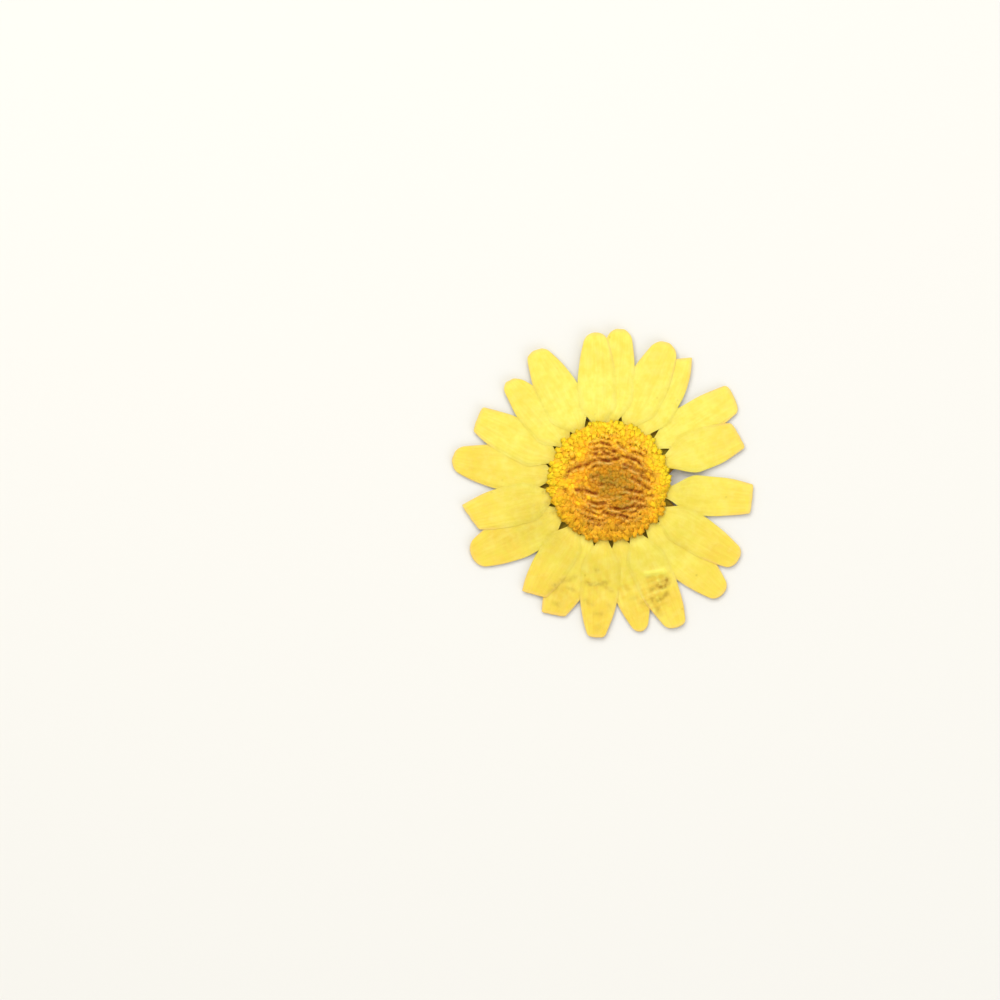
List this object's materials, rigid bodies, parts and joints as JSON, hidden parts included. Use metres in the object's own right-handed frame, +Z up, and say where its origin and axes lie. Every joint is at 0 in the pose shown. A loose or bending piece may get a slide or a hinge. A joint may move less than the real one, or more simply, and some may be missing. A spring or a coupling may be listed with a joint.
{
  "type": "pressed daisy flower head",
  "caption": "Pressed yellow daisy head, dried flat, lying face up on its green base.",
  "frame": {"origin": "on the flower's axis, in the plane that its flat green base rests on", "axes": "+Z up along the flower's axis, the way its face looks; +Y towards the top of the picture; +X to its right"},
  "size_m": [0.0258, 0.0265, 0.003],
  "materials": {
    "petals": "matte",
    "disc": "matte",
    "green_base": "matte"
  },
  "bodies": {
    "root": {"ray_petals": "petals", "disc_florets": "disc", "involucre": "green_base"}
  },
  "joints": []
}
